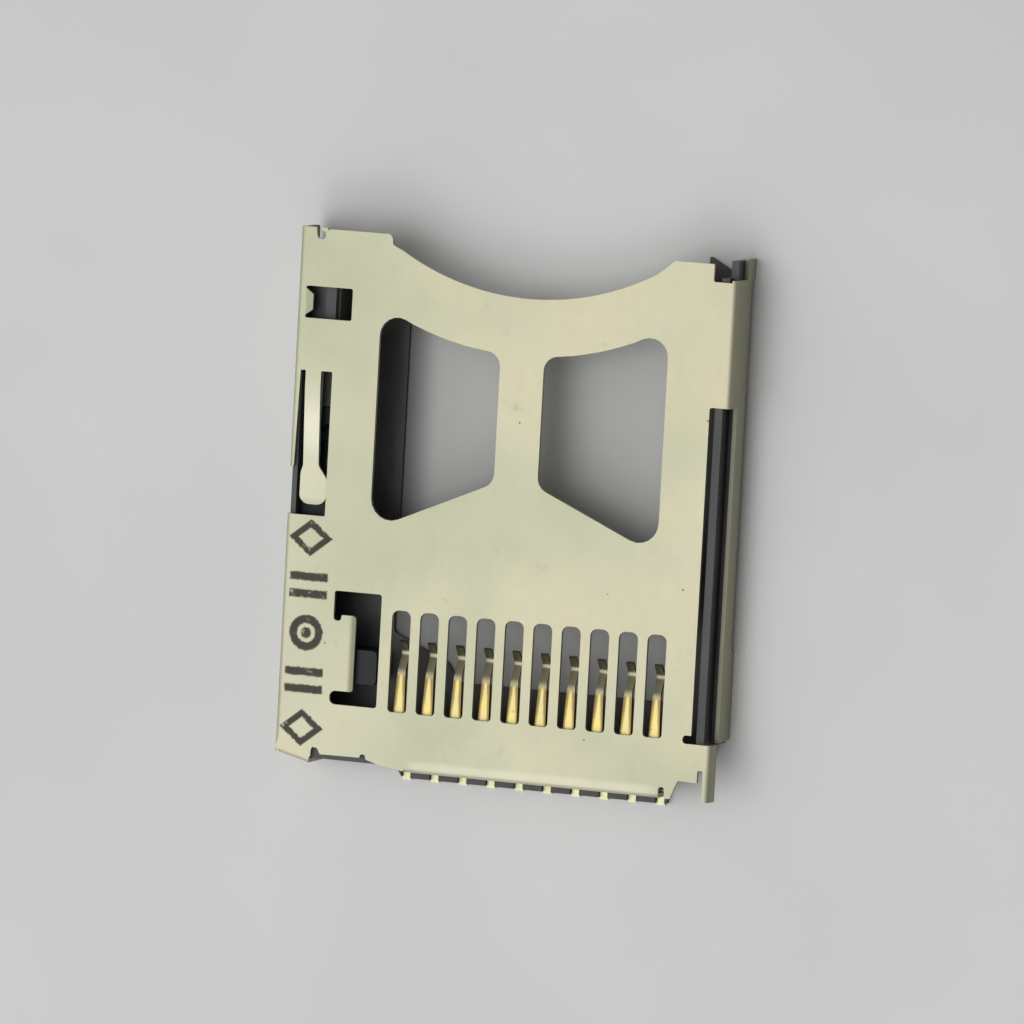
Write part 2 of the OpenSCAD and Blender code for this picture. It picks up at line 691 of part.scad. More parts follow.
module slider() {
    channel_d = spring_d + 2 * run_gap;
    color(slider_tone) place() difference() {
        union() {
            raise(slider_foot, cam_top)
                polygon(block(slider_left, slider_front, slider_right, slider_rear, 0.12));
            // Raised back, guided under the cover
            raise(slider_foot, under - run_gap)
                polygon(block(slider_left, pin_tip_at + 2.2, slider_right, slider_rear, 0.2));
            // Pusher that the card's leading edge meets
            raise(push_floor, push_top)
                polygon(rounded([
                    [slider_mid, push_face - 1.2, 0], [slider_right, push_face - 1.2, 0],
                    [slider_right + 0.75, push_face, 0.2], [bay_left + push_reach, push_face, 0.25],
                    [bay_left + push_reach, push_face + push_w, 0.25], [slider_mid, push_face + push_w, 0],
                ]));
        }
        heart_cam();
        // Channel for the spring, open below and at the rear
        translate([slider_mid, slider_rear + 1, spring_h]) rotate([90, 0, 0])
            cylinder(d = channel_d, h = slider_rear + 1 - block_rear);
        bar(slider_mid - channel_d / 2, block_rear, 0, slider_mid + channel_d / 2, slider_rear + 1, spring_h);
    }
}

// Bent wire: a leg in the pivot, a long reach and a tip in the cam track
module lock_pin() {
    tip_foot = cam_floor + run_gap;
    color(steel_tone) place() translate([slider_mid, 0, 0]) {
        translate([0, pivot_at, pivot_foot]) cylinder(d = wire_d, h = pin_h - pin_bend - pivot_foot);
        translate([0, pin_tip_at, tip_foot]) cylinder(d = wire_d, h = pin_h - pin_bend - tip_foot);
        translate([0, pivot_at + pin_bend, pin_h]) rotate([-90, 0, 0])
            cylinder(d = wire_d, h = swing_r - 2 * pin_bend);
        translate([0, pivot_at + pin_bend, pin_h - pin_bend]) rotate([90, 0, -90])
            rotate_extrude(angle = 90) translate([pin_bend, 0]) circle(d = wire_d);
        translate([0, pin_tip_at - pin_bend, pin_h - pin_bend]) rotate([90, 0, 90])
            rotate_extrude(angle = 90) translate([pin_bend, 0]) circle(d = wire_d);
    }
}

// Ring of the coil's section at angle a and distance y along the coil
spring_sides = 6;
spring_rings = 12;
function coil_ring(a, y) = let (mid_r = (spring_d - spring_wire) / 2)
    [for (k = [0 : spring_sides - 1]) let (s = 360 * k / spring_sides, r = mid_r + spring_wire / 2 * cos(s))
        [r * cos(a), y + spring_wire / 2 * sin(s), r * sin(a)]];

// Axial place of the coil after t turns: the first and last turns lie closed
function coil_rise(t, length) =
    let (closed = spring_wire * 1.06, open = (length - spring_wire * 1.1 - 2 * closed) / spring_turns)
    spring_wire * 0.55 + min(t, 1) * closed
        + max(0, min(t - 1, spring_turns)) * open + max(0, t - 1 - spring_turns) * closed;

module coil_spring() {
    length = spring_rear - spring_front;
    steps = (spring_turns + 2) * spring_rings;
    rings = [for (i = [0 : steps])
        coil_ring(360 * i / spring_rings, coil_rise(i / spring_rings, length))];
    points = [for (ring = rings) each ring];
    last = steps * spring_sides;
    faces = concat(
        [[for (k = [0 : spring_sides - 1]) k]],
        [for (i = [0 : steps - 1], k = [0 : spring_sides - 1])
            let (a = i * spring_sides + k, b = i * spring_sides + (k + 1) % spring_sides)
            each [[a, a + spring_sides, b + spring_sides], [a, b + spring_sides, b]]],
        [[for (k = [spring_sides - 1 : -1 : 0]) last + k]]
    );
    color(steel_tone) place() translate([slider_mid, spring_front, spring_h])
        polyhedron(points = points, faces = faces);
}

// Contact number i, counted from the left: a tail, a leg up the back of the block, and a beam
// that leaves its top, narrows and dips to its point under the cover's slot
module contact(i) {
    point_mid = point_h + strip_t / 2;
    color(gold_tone) place() translate([tail_first + i * pitch, 0, 0]) intersection() {
        across(-tail_w / 2 - over, tail_offset + beam_w / 2 + over)
            polygon(ribbon([
                [overall_l, strip_t / 2, 0], [leg_at, strip_t / 2, 0.2], [leg_at, root_h, leg_bend],
                [root_front, root_h, 1], [knee_at, knee_h, 0.6], [point_at, point_mid, 0.3],
                [tip_at, point_mid + tip_rise, 0],
            ], strip_t));
        raise(-over, cover_h)
            polygon(rounded([
                [tail_offset - tip_w / 2, tip_at - over, 0], [tail_offset + tip_w / 2, tip_at - over, 0],
                [tail_offset + tip_w / 2, knee_at, 0], [tail_offset + beam_w / 2, root_front, 0],
                [tail_offset + beam_w / 2, body_rear, 0.05], [tail_w / 2, body_rear, 0.05],
                [tail_w / 2, overall_l + over, 0], [-tail_w / 2, overall_l + over, 0],
                [-tail_w / 2, root_front + 0.35, 0], [tail_offset - beam_w / 2, root_front, 0],
                [tail_offset - tip_w / 2, knee_at, 0],
            ]));
    }
}

shell();
housing();
slider();
lock_pin();
coil_spring();
contact(0);  // contact_01
contact(1);  // contact_02
contact(2);  // contact_03
contact(3);  // contact_04
contact(4);  // contact_05
contact(5);  // contact_06
contact(6);  // contact_07
contact(7);  // contact_08
contact(8);  // contact_09
contact(9);  // contact_10
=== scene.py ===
"""Visual model of a push-push memory card connector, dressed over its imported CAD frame.

The frame gives every solid in its true place. This script adds the materials, the wound spring, the
studio and the camera of the photograph. Sizes ending in _mm are millimetres, all others are metres.
"""

import logging
import math
from dataclasses import dataclass
from enum import Enum

import bpy
from mathutils import Matrix, Vector


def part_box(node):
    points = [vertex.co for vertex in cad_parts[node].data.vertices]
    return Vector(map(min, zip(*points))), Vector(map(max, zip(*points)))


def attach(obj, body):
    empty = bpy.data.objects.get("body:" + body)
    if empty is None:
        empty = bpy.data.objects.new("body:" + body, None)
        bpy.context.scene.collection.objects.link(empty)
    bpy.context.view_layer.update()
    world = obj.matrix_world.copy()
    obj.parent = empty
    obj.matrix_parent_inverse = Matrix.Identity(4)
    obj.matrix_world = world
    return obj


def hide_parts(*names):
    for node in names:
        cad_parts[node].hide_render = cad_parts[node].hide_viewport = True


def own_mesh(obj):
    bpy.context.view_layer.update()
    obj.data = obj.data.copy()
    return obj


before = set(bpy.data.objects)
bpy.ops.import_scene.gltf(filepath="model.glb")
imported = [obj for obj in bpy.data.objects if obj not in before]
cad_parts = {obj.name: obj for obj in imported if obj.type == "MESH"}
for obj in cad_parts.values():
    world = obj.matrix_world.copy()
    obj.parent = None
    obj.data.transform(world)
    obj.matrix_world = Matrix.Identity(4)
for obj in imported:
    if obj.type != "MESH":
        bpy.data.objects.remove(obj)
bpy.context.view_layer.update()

log = logging.getLogger("connector")
MM = 0.001


class Node(str, Enum):
    """The CAD nodes that this script names one by one."""

    COVER = "shell"
    HOUSING = "housing"
    SLIDER = "slider"
    PIN = "lock_pin"
    SPRING = "coil_spring"


class Slot(str, Enum):
    """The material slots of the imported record."""

    COVER = "cover"
    MOULDING = "moulding"
    SLIDER = "slider"
    STEEL = "spring_steel"
    CONTACT = "contact_metal"


class Signal:
    """A socket of a material's node tree that can be used in plain arithmetic."""

    def __init__(self, graph: "Graph", socket: bpy.types.NodeSocket) -> None:
        """Keeps the socket and the graph that new nodes go into.

        Args:
            graph: the material's graph.
            socket: the output socket that carries the value.
        """
        self.graph = graph
        self.socket = socket

    def _math(self, operation: str, *operands: "Signal | float") -> "Signal":
        """Adds one Math node.

        Args:
            operation: the node's operation.
            operands: its inputs, in order.

        Returns:
            The node's result.
        """
        inputs = dict(enumerate(operands))
        return self.graph.node("ShaderNodeMath", {"operation": operation}, inputs)

    def __add__(self, other: "Signal | float") -> "Signal":
        """Returns self + other."""
        return self._math("ADD", self, other)

    def __radd__(self, other: float) -> "Signal":
        """Returns other + self."""
        return self._math("ADD", other, self)

    def __sub__(self, other: "Signal | float") -> "Signal":
        """Returns self - other."""
        return self._math("SUBTRACT", self, other)

    def __rsub__(self, other: float) -> "Signal":
        """Returns other - self."""
        return self._math("SUBTRACT", other, self)

    def __mul__(self, other: "Signal | float") -> "Signal":
        """Returns self * other."""
        return self._math("MULTIPLY", self, other)

    def __abs__(self) -> "Signal":
        """Returns the absolute value."""
        return self._math("ABSOLUTE", self)

    def least(self, other: "Signal | float") -> "Signal":
        """Returns the smaller of the two."""
        return self._math("MINIMUM", self, other)

    def most(self, other: "Signal | float") -> "Signal":
        """Returns the larger of the two."""
        return self._math("MAXIMUM", self, other)

    def apart(self, pitch: float) -> "Signal":
        """Returns the distance to the nearest whole multiple of the pitch."""
        return self._math("PINGPONG", self, pitch / 2)

    def rise(self, low: float, high: float) -> "Signal":
        """Turns the value into a share that climbs smoothly.

        Args:
            low: the value at which the share is 0.
            high: the value at which the share is 1. It may be below low.

        Returns:
            The share, from 0 to 1.
        """
        settings = {"interpolation_type": "SMOOTHSTEP"}
        if low < high:
            return self.graph.node("ShaderNodeMapRange", settings, {0: self, 1: low, 2: high})
        return 1.0 - self.graph.node("ShaderNodeMapRange", settings, {0: self, 1: high, 2: low})

    def between(self, low: float, high: float, outside: float, inside: float) -> "Signal":
        """Turns the value into a share that stands between two ends.

        Args:
            low: the lower end.
            high: the upper end.
            outside: how far outside an end the share starts.
            inside: how far inside that end it is whole.

        Returns:
            The share, from 0 to 1.
        """
        return self.rise(low - outside, low + inside) * self.rise(high + outside, high - inside)


@dataclass(frozen=True)
class Pattern:
    """A cloudy pattern that a finish is mixed from.

    Scale is in clouds per millimetre, about. Detail counts the finer layers, and rough is their
    strength. Stretch holds factors along the three axes, which make a grain, and turn swings that
    grain about Z, in radians.
    """

    scale: float
    detail: float
    rough: float
    stretch: tuple = (1, 1, 1)
    turn: float = 0.0


class Graph:
    """The node tree of one material or of the room, and the few calls that a finish is written in."""

    def __init__(self, holder: "bpy.types.Material | bpy.types.World",
                 shader: str = "Principled BSDF") -> None:
        """Starts on the holder's own shader.

        Args:
            holder: the new material or world.
            shader: the name of its shader node.
        """
        holder.use_nodes = True
        self.holder = holder
        self.tree = holder.node_tree
        self.shader = self.tree.nodes[shader]
        self.made: dict[tuple | Pattern, Signal] = {}

    @classmethod
    def of_material(cls, name: str) -> "Graph":
        """Starts a new material of that name."""
        return cls(bpy.data.materials.new(name))

    def node(self, kind: str, settings: dict | None = None, inputs: dict | None = None,
             output: int | str = 0) -> Signal:
        """Adds one node of any type.

        Args:
            kind: the node's type.
            settings: its properties, which are set first.
            inputs: values or signals by the socket's name or number.
            output: the name or number of the output that is wanted.

        Returns:
            That output.
        """
        made = self.tree.nodes.new(kind)
        for name, value in (settings or {}).items():
            setattr(made, name, value)
        for key, value in (inputs or {}).items():
            self.feed(made.inputs[key], value)
        return Signal(self, made.outputs[output])

    def feed(self, socket: bpy.types.NodeSocket, value: "Signal | float | tuple") -> None:
        """Links a signal to a socket, or sets a plain value on it."""
        if isinstance(value, Signal):
            self.tree.links.new(value.socket, socket)
        else:
            socket.default_value = value

    def place_mm(self, stretch: tuple = (1, 1, 1), turn: float = 0.0) -> Signal:
        """Gives the place on the piece in millimetres.

        Args:
            stretch: factors along the three axes.
            turn: a turn about Z in radians.

        Returns:
            The place as a vector.
        """
        key = (stretch, turn)
        if key not in self.made:
            place = self.node("ShaderNodeTexCoord", output="Object")
            scale = tuple(factor / MM for factor in stretch)
            self.made[key] = self.node("ShaderNodeMapping", {"vector_type": "POINT"},
                                       {"Vector": place, "Rotation": (0, 0, turn), "Scale": scale})
        return self.made[key]

    def axes(self, vector: Signal) -> tuple[Signal, Signal, Signal]:
        """Splits a vector into its three numbers."""
        split = self.node("ShaderNodeSeparateXYZ", None, {0: vector})
        outputs = split.socket.node.outputs
        return Signal(self, outputs[0]), Signal(self, outputs[1]), Signal(self, outputs[2])

    def where(self) -> tuple[Signal, Signal, Signal]:
        """Gives the place on the piece along the three axes, in millimetres."""
        return self.axes(self.place_mm())

    def facing(self) -> tuple[Signal, Signal, Signal]:
        """Gives the direction that the surface faces, in the piece's own frame."""
        return self.axes(self.node("ShaderNodeTexCoord", output="Normal"))

    def noise(self, pattern: Pattern) -> Signal:
        """Gives a cloudy pattern, which is about 0.5 on average and is made once in each graph."""
        if pattern not in self.made:
            place = self.place_mm(pattern.stretch, pattern.turn)
            self.made[pattern] = self.node("ShaderNodeTexNoise", {"noise_dimensions": "3D"},
                                           {"Vector": place, "Scale": pattern.scale,
                                            "Detail": pattern.detail, "Roughness": pattern.rough})
        return self.made[pattern]

    def specks(self, scale: float, size: float) -> Signal:
        """Gives scattered small spots.

        Args:
            scale: spots per millimetre, about.
            size: a spot's radius as a share of the spacing.

        Returns:
            A mask, 1 at the middle of each spot.
        """
        distance = self.node("ShaderNodeTexVoronoi", {"feature": "F1"},
                             {"Vector": self.place_mm(), "Scale": scale, "Randomness": 1.0})
        return distance.rise(size, size * 0.4)

    def blend(self, share: "Signal | float", first: "Signal | tuple", second: "Signal | tuple") -> Signal:
        """Mixes two colours.

        Args:
            share: how much of the second shows, from 0 to 1.
            first: a colour or signal.
            second: a colour or signal.

        Returns:
            The mixed colour.
        """
        settings = {"data_type": "RGBA", "blend_type": "MIX"}
        return self.node("ShaderNodeMix", settings, {0: share, 6: first, 7: second}, output=2)

    def relief(self, height: Signal, depth: float) -> Signal:
        """Turns a height into a bent surface normal.

        Args:
            height: the height, from 0 to 1.
            depth: the real height of 1, in metres.

        Returns:
            The normal.
        """
        return self.node("ShaderNodeBump", None, {"Height": height, "Strength": 1.0, "Distance": depth})

    def finish(self, **sockets: "Signal | float | tuple") -> bpy.types.Material:
        """Feeds the shader.

        Args:
            sockets: values by the shader's socket names, with _ for a space.

        Returns:
            The finished material or world.
        """
        for name, value in sockets.items():
            self.feed(self.shader.inputs[name.replace("_", " ")], value)
        return self.holder


@dataclass(frozen=True)
class InkMarks:
    """Plain process marks in dark ink along the cover's left edge: diamonds, bars and a target."""

    colour: tuple = (0.024, 0.021, 0.013, 1)
    across_mm: float = -10.15
    first_mm: float = -11.3
    pitch_mm: float = 2.38
    reach_mm: float = 0.86
    stroke_mm: float = 0.2
    blur_mm: float = 0.05
    ragged_mm: float = 0.22
    top_mm: float = 2.6
    lowest_mm: tuple = (2.05, 2.25)
    dot_mm: tuple = (0.32, 0.22)
    bar_ends_mm: tuple = (0.2, 0.1)
    slant: float = 0.8
    diamond_share: float = 0.85
    bar_share: float = 0.5
    ring_share: float = 0.8
    ragged: Pattern = Pattern(5.0, 4.0, 0.7)
    wear: Pattern = Pattern(1.6, 5.0, 0.7)

    def _stroke(self, distance: Signal) -> Signal:
        """Gives the ink of a line whose middle is where the distance is 0."""
        return abs(distance).rise(self.stroke_mm + self.blur_mm, self.stroke_mm - self.blur_mm)

    def _diamond(self, across: Signal, along: Signal) -> Signal:
        """Draws an open diamond."""
        return self._stroke((abs(across) * self.slant + abs(along)) - self.reach_mm * self.diamond_share)

    def _bars(self, across: Signal, along: Signal) -> Signal:
        """Draws two bars side by side."""
        far, near = self.bar_ends_mm
        ends = abs(across).rise(self.reach_mm + far, self.reach_mm + near)
        return self._stroke(abs(along) - self.reach_mm * self.bar_share) * ends

    def _target(self, across: Signal, along: Signal) -> Signal:
        """Draws a ring round a dot."""
        graph = across.graph
        spot = graph.node("ShaderNodeCombineXYZ", None, {0: across, 1: along})
        away = graph.node("ShaderNodeVectorMath", {"operation": "LENGTH"}, {0: spot}, output="Value")
        return self._stroke(away - self.reach_mm * self.ring_share).most(away.rise(*self.dot_mm))

    def mask(self, graph: Graph) -> Signal:
        """Draws the marks on the flat top and round its left bend.

        Args:
            graph: the cover's graph.

        Returns:
            The ink's share, from 0 to 1.
        """
        x, y, z = graph.where()
        ragged = (graph.noise(self.ragged) - 0.5) * self.ragged_mm
        across = x - (self.top_mm - z).most(0.0) - self.across_mm + ragged
        ink = None
        for index, draw in enumerate((self._diamond, self._bars, self._target, self._bars, self._diamond)):
            along = y - (self.first_mm + index * self.pitch_mm) + ragged
            drawn = draw(across, along)
            ink = drawn if ink is None else ink.most(drawn)
        worn = graph.noise(self.wear).rise(0.28, 0.42)
        return ink * worn * z.rise(*self.lowest_mm)


@dataclass(frozen=True)
class PlatedSheet:
    """The cover's rolled and plated sheet: satin, faintly yellow, with bright cut edges partly lightened
    with a painted highlight, painted shade on its upright faces and a painted highlight on the rear bend
    and the lanced arm.

    The ranges in _mm bound the places where the sheet was cut or bent, and where shade and highlights are
    painted.
    """

    dull: tuple = (0.448, 0.458, 0.320, 1)
    pale: tuple = (0.548, 0.536, 0.398, 1)
    warm: tuple = (0.578, 0.542, 0.373, 1)
    stain: tuple = (0.330, 0.310, 0.180, 1)
    # bare metal of the cut edges, lightened with a painted highlight
    sheared_and_highlight: tuple = (0.800, 0.770, 0.640, 1)
    # near-black for upward faces low on the sheet
    low_top_dark: tuple = (0.090, 0.088, 0.075, 1)
    speck: tuple = (0.080, 0.070, 0.040, 1)
    # painted shade for the faces that stand upright
    side: tuple = (0.230, 0.230, 0.160, 1)
    # pale colour of the painted highlight on the rear bend and the lanced arm
    painted_highlight: tuple = (0.760, 0.730, 0.600, 1)
    top_cut_low_mm: tuple = (2.38, 2.42)
    top_cut_high_mm: tuple = (2.595, 2.575)
    low_top_mm: tuple = (1.9, 1.8)
    bend_mm: tuple = (-12.35, -12.60)
    bend_foot_mm: tuple = (2.1, 2.3)
    bend_ends_mm: tuple = (-4.6, 8.9)
    arm_sides_mm: tuple = (-11.2, -9.6)
    arm_ends_mm: tuple = (0.2, 6.8)
    arm_shine_mm: float = 3.7
    twist: float = 0.0008
    roughness: float = 0.56
    metallic: float = 0.65
    relief_mm: float = 0.004
    clouds: Pattern = Pattern(0.16, 3.0, 0.5)
    drift: Pattern = Pattern(0.11, 3.0, 0.55)
    mottle: Pattern = Pattern(1.5, 6.0, 0.68)
    fine: Pattern = Pattern(11.0, 3.0, 0.6)
    grain: Pattern = Pattern(1.0, 4.0, 0.6, stretch=(7.0, 0.45, 7.0))
    blotches: Pattern = Pattern(0.8, 6.0, 0.75)
    small_specks: tuple = (0.55, 0.045)
    large_specks: tuple = (0.23, 0.03)
    ink: InkMarks = InkMarks()

    def _rolled(self, g: Graph) -> Signal:
        """Mixes the bare sheet's colour: cloudy, with a slow drift from corner to corner."""
        x, y, _ = g.where()
        twisted = x * y * self.twist
        share = (g.noise(self.clouds) - 0.5) * 2.4 + (g.noise(self.mottle) - 0.5) * 1.3
        share = share + (g.noise(self.fine) - 0.5) * 0.6 + (g.noise(self.grain) - 0.5) * 0.08
        share = share + twisted * 3.0 + 0.5
        colour = g.blend(share.most(0.0).least(1.0), self.dull, self.pale)
        return g.blend((g.noise(self.drift) + twisted).rise(0.45, 0.68) * 0.75, colour, self.warm)

    def _edged(self, g: Graph, colour: Signal) -> Signal:
        """Brightens the cut edges of the top, partly with a painted highlight, and paints shade on the
        faces that stand upright.
        """
        _, _, z = g.where()
        facing_x, _, facing_z = g.facing()
        # the top's cut edges: partly bare cut metal, partly a painted highlight
        cut = abs(facing_z).rise(0.5, 0.2) * z.rise(*self.top_cut_low_mm) * z.rise(*self.top_cut_high_mm)
        colour = g.blend(cut * 0.35, colour, self.sheared_and_highlight)
        # painted shade on the upright faces, the outer walls most
        return g.blend(abs(facing_x).rise(0.5, 0.95) * 0.5, colour, self.side)

    def _paint_highlights(self, g: Graph, colour: Signal) -> Signal:
        """Paints a highlight on the rear bend and on the lanced arm."""
        x, y, z = g.where()
        _, _, facing_z = g.facing()
        bend = y.rise(*self.bend_mm) * z.rise(*self.bend_foot_mm) * facing_z.rise(0.0, 0.2)
        bend = bend * x.between(*self.bend_ends_mm, 0.1, 0.8)
        # painted highlight along the rear bend
        colour = g.blend(bend * 0.32, colour, self.painted_highlight)
        tip, root = self.arm_ends_mm
        # painted highlight on the lanced arm, brightest near arm_shine_mm
        arm = x.between(*self.arm_sides_mm, 0.0, 0.1) * y.rise(tip - 0.2, tip) * y.rise(root, root - 2.5)
        arm = arm * (0.25 + abs(y - self.arm_shine_mm).rise(1.7, 0.4) * 0.35)
        return g.blend(arm + (g.noise(self.mottle) - 0.5) * arm, colour, self.painted_highlight)

    def material(self) -> bpy.types.Material:
        """Builds the material.

        Returns:
            The cover's material.
        """
        g = Graph.of_material("plated_sheet")
        stains = g.noise(self.blotches).rise(0.60, 0.74) * 0.25
        colour = g.blend(stains, self._rolled(g), self.stain)
        colour = self._paint_highlights(g, self._edged(g, colour))
        _, _, z = g.where()
        _, _, facing_z = g.facing()
        # upward faces below 1.8 mm, such as the feet, are darkened towards near-black
        low_top_share = facing_z.rise(0.6, 0.9) * z.rise(*self.low_top_mm)
        colour = g.blend(low_top_share * 0.7, colour, self.low_top_dark)
        dots = g.specks(*self.small_specks).most(g.specks(*self.large_specks))
        colour = g.blend(dots * 0.85, colour, self.speck)
        ink = self.ink.mask(g)
        colour = g.blend(ink * 0.94, colour, self.ink.colour)
        mottle, fine, grain = g.noise(self.mottle), g.noise(self.fine), g.noise(self.grain)
        rough = self.roughness + (mottle - 0.5) * 0.12 + (grain - 0.5) * 0.05 + stains * 0.3 + ink * 0.2
        height = grain * 0.15 + fine * 0.35 + mottle * 0.3 - dots * 0.4 + ink * 0.25
        return g.finish(Base_Color=colour, Roughness=rough, Metallic=(1.0 - ink) * self.metallic,
                        Normal=g.relief(height, self.relief_mm * MM))


@dataclass(frozen=True)
class Moulding:
    """Black glass-filled resin, dull, with fibre flow and fine grain."""

    name: str = "moulding"
    dark: tuple = (0.0380, 0.0395, 0.0390, 1)
    light: tuple = (0.0700, 0.0720, 0.0705, 1)
    fibre: tuple = (0.1100, 0.1150, 0.1200, 1)
    shine: float = 0.5
    roughness: float = 0.55
    relief_mm: float = 0.005
    flow: Pattern = Pattern(1.1, 4.0, 0.6, stretch=(1.0, 0.25, 1.0), turn=0.35)
    grain: Pattern = Pattern(14.0, 3.0, 0.6)
    fibres: Pattern = Pattern(2.0, 2.0, 0.5, stretch=(9.0, 1.1, 9.0), turn=0.5)

    def material(self) -> bpy.types.Material:
        """Builds the material.

        Returns:
            The resin's material.
        """
        g = Graph.of_material(self.name)
        flow, grain = g.noise(self.flow), g.noise(self.grain)
        colour = g.blend(flow.rise(0.3, 0.75), self.dark, self.light)
        fibres = g.noise(self.fibres).rise(0.66, 0.78)
        colour = g.blend(fibres * 0.3, colour, self.fibre)
        rough = self.roughness + (flow - 0.5) * 0.25 + (grain - 0.5) * 0.2 + fibres * 0.1
        height = grain * 0.6 + flow * 0.3 + fibres * 0.3
        return g.finish(Base_Color=colour, Roughness=rough, Metallic=0.0, Specular_IOR_Level=self.shine,
                        Normal=g.relief(height, self.relief_mm * MM))


@dataclass(frozen=True)
class DrawnWire:
    """Bright drawn spring wire with fine lines along it."""

    clean: tuple = (0.560, 0.550, 0.520, 1)
    dull: tuple = (0.300, 0.290, 0.270, 1)
    roughness: float = 0.26
    relief_mm: float = 0.002
    cloud: Pattern = Pattern(1.3, 4.0, 0.6)
    lines: Pattern = Pattern(1.2, 3.0, 0.6, stretch=(16.0, 1.2, 16.0))

    def material(self) -> bpy.types.Material:
        """Builds the material.

        Returns:
            The wire's material.
        """
        g = Graph.of_material("drawn_wire")
        cloud, lines = g.noise(self.cloud), g.noise(self.lines)
        colour = g.blend((cloud * 0.7 + lines * 0.4).rise(0.35, 0.75), self.clean, self.dull)
        rough = self.roughness + (cloud - 0.5) * 0.2 + (lines - 0.5) * 0.2
        return g.finish(Base_Color=colour, Roughness=rough, Metallic=1.0,
                        Normal=g.relief(lines + cloud * 0.4, self.relief_mm * MM))


@dataclass(frozen=True)
class ContactPlating:
    """Contact strip: gold at the root, painted shade on the sprung end, deepest past the point, a painted
    highlight at the point and a pale solder foot.

    Each beam is darkened to dark brown beside a middle wedge: wedge_mm holds where the wedge starts, its
    half width there and how much that narrows in a millimetre.
    """

    gold: tuple = (0.590, 0.475, 0.165, 1)
    pale: tuple = (0.640, 0.580, 0.310, 1)
    tarnished: tuple = (0.300, 0.190, 0.055, 1)
    # painted shade on the sprung end of the beams
    painted_shade_beam: tuple = (0.330, 0.305, 0.190, 1)
    # deeper painted shade past the point
    tip: tuple = (0.170, 0.160, 0.105, 1)
    # painted highlight at the contact point
    worn: tuple = (0.420, 0.400, 0.280, 1)
    foot: tuple = (0.560, 0.560, 0.370, 1)
    # dark brown for each beam beside its middle wedge
    beside_wedge_dark: tuple = (0.210, 0.130, 0.035, 1)
    beam_mm: float = -5.09
    pitch_mm: float = 1.5
    wedge_mm: tuple = (-10.6, 0.235, 0.075)
    foot_mm: float = -13.0
    beam_shade_start_mm: float = -8.25
    point_mm: float = -7.15
    roughness: float = 0.50
    relief_mm: float = 0.002
    cloud: Pattern = Pattern(1.1, 4.0, 0.6)
    grain: Pattern = Pattern(1.0, 3.0, 0.6, stretch=(14.0, 1.0, 14.0))
    tarnish: Pattern = Pattern(2.6, 5.0, 0.7)

    def material(self) -> bpy.types.Material:
        """Builds the material.

        Returns:
            The contacts' material.
        """
        g = Graph.of_material("contact_plating")
        x, y, _ = g.where()
        cloud, grain = g.noise(self.cloud), g.noise(self.grain)
        colour = g.blend((cloud * 0.8 + grain * 0.3).rise(0.3, 0.8), self.gold, self.pale)
        tarnish = g.noise(self.tarnish).rise(0.60, 0.74)
        colour = g.blend(tarnish * 0.35, colour, self.tarnished)
        start, half_width, taper = self.wedge_mm
        away = (x - self.beam_mm).apart(self.pitch_mm)
        beside = away + (y - start) * taper + (cloud - 0.5) * 0.1 - half_width
        # darkens each beam beside a middle wedge that narrows towards the point
        colour = g.blend(beside.rise(-0.06, 0.06) * 0.85, colour, self.beside_wedge_dark)
        ragged = y + (cloud - 0.5) * 0.3
        # painted shade on the sprung end, deepest past the point
        colour = g.blend(ragged.rise(self.beam_shade_start_mm - 0.12, self.beam_shade_start_mm + 0.12), colour, self.painted_shade_beam)
        colour = g.blend(ragged.rise(self.point_mm - 0.05, self.point_mm + 0.15), colour, self.tip)
        # painted highlight at the contact point
        colour = g.blend(abs(ragged - self.point_mm).rise(0.12, 0.05), colour, self.worn)
        colour = g.blend(ragged.rise(self.foot_mm + 0.1, self.foot_mm - 0.1) * 0.85, colour, self.foot)
        rough = self.roughness + (cloud - 0.5) * 0.2 + (grain - 0.5) * 0.18 + tarnish * 0.12
        return g.finish(Base_Color=colour, Roughness=rough, Metallic=1.0,
                        Normal=g.relief(grain + cloud * 0.3, self.relief_mm * MM))


@dataclass(frozen=True)
class PaleFloor:
    """The plain pale floor, with painted shade below the connector and a painted shadow beside its left
    floor.
    """

    near: tuple = (0.630, 0.635, 0.630, 1)
    far: tuple = (0.660, 0.664, 0.658, 1)
    # painted shade below the connector
    under: tuple = (0.420, 0.425, 0.415, 1)
    # painted shadow beside the housing's left floor
    painted_deep_shadow: tuple = (0.120, 0.124, 0.122, 1)
    half_width_mm: tuple = (10.6, 9.6)
    half_length_mm: tuple = (11.3, 10.3)
    middle_mm: float = -0.7
    deep_mm: tuple = (-4.6, -6.4)
    deep_share: float = 0.85
    roughness: float = 0.7
    cloud: Pattern = Pattern(0.05, 3.0, 0.5)

    def material(self) -> bpy.types.Material:
        """Builds the material.

        Returns:
            The floor's material.
        """
        g = Graph.of_material("pale_floor")
        x, y, _ = g.where()
        colour = g.blend(g.noise(self.cloud).rise(0.35, 0.65), self.near, self.far)
        below = abs(x).rise(*self.half_width_mm) * abs(y - self.middle_mm).rise(*self.half_length_mm)
        # painted shade below the connector
        colour = g.blend(below, colour, self.under)
        # painted shadow beside the housing's left floor
        colour = g.blend(below * x.rise(*self.deep_mm) * self.deep_share, colour, self.painted_deep_shadow)
        return g.finish(Base_Color=colour, Roughness=self.roughness, Metallic=0.0)


def deselect_all() -> None:
    bpy.ops.object.select_all(action="DESELECT")


def dress(node: str, material: bpy.types.Material) -> None:
    """Gives a CAD node its finish.

    Args:
        node: the node's name.
        material: the material.
    """
    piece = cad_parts[node]
    for place in piece.material_slots:
        place.material = material
    log.info("%s: dressed in %s", node, material.name)


